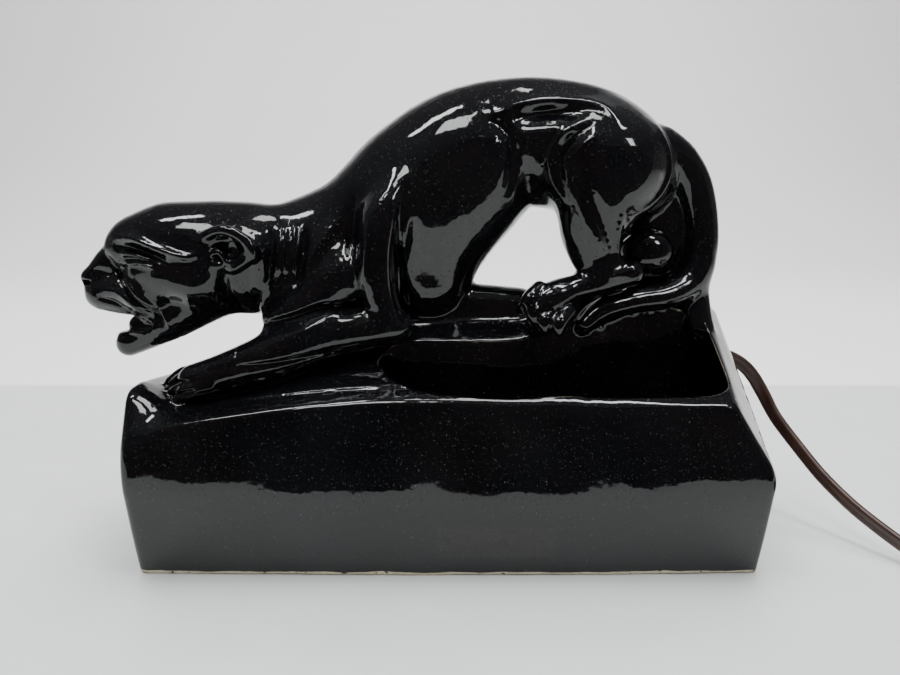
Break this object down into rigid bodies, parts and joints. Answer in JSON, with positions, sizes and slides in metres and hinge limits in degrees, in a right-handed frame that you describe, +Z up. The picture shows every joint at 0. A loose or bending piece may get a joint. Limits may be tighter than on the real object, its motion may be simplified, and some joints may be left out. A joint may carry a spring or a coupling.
{
  "type": "television lamp",
  "caption": "Black glazed ceramic panther on a rock block with a planter well in front and a small bulb with a rotary switch in a niche behind; flat cord and plug.",
  "frame": {"origin": "on the foot, at the bottom centre of the ceramic's bounding box", "axes": "+X to the right end that the cord leaves, along the longest extent; +Y from the planter towards the lamp niche; +Z up"},
  "size_m": [0.3679, 0.1316, 0.1621],
  "materials": {
    "black_glaze": "deep black high-gloss glaze over cream earthenware, bare at the foot",
    "brass": "aged satin brass",
    "bright_brass": "bright rolled brass",
    "black_rubber": "matt black rubber",
    "brown_plastic": "moulded brown plastic",
    "steel": "zinc plated steel",
    "fibre_card": "brown insulating fibre card",
    "black_phenolic": "moulded black phenolic",
    "cord_brown": "brown vinyl flat cord",
    "bulb_glass": "clear lamp glass",
    "solder": "dull solder",
    "tungsten": "dark tungsten wire"
  },
  "bodies": {
    "lamp": {"rock_base": "black_glaze", "panther_figure": "black_glaze", "socket_nipple": "brass", "outer_washer": "black_rubber", "outer_nut": "brass", "cord_bushing": "brown_plastic", "inner_washer": "steel", "socket_cap": "brass", "socket_shell": "brass", "insulating_sleeve": "fibre_card", "socket_block": "black_phenolic", "screw_shell": "bright_brass", "centre_contact": "bright_brass", "terminal_screws": "steel", "inner_leads": "cord_brown", "cord_lead": "cord_brown", "cord_coil": "cord_brown", "cord_tail": "cord_brown", "cord_tie": "black_rubber", "plug_body": "brown_plastic", "plug_face": "fibre_card", "plug_blades": "brass"},
    "bulb": {"bulb_glass": "bulb_glass", "bulb_base": "bright_brass", "bulb_insulator": "black_phenolic", "bulb_contact": "solder", "bulb_stem": "bulb_glass", "bulb_supports": "steel", "bulb_filament": "tungsten"},
    "switch": {"switch_shaft": "brass", "switch_knob": "black_phenolic"}
  },
  "joints": [
    {"name": "bulb", "type": "slide", "parent": "lamp", "child": "bulb", "axis": [-1, 0, 0], "range_m": [0, 0.0135]},
    {"name": "switch_knob", "type": "hinge", "parent": "lamp", "child": "switch", "pos_m": [0.075, 0, 0.062], "axis": [0, 1, 0], "continuous": true}
  ]
}
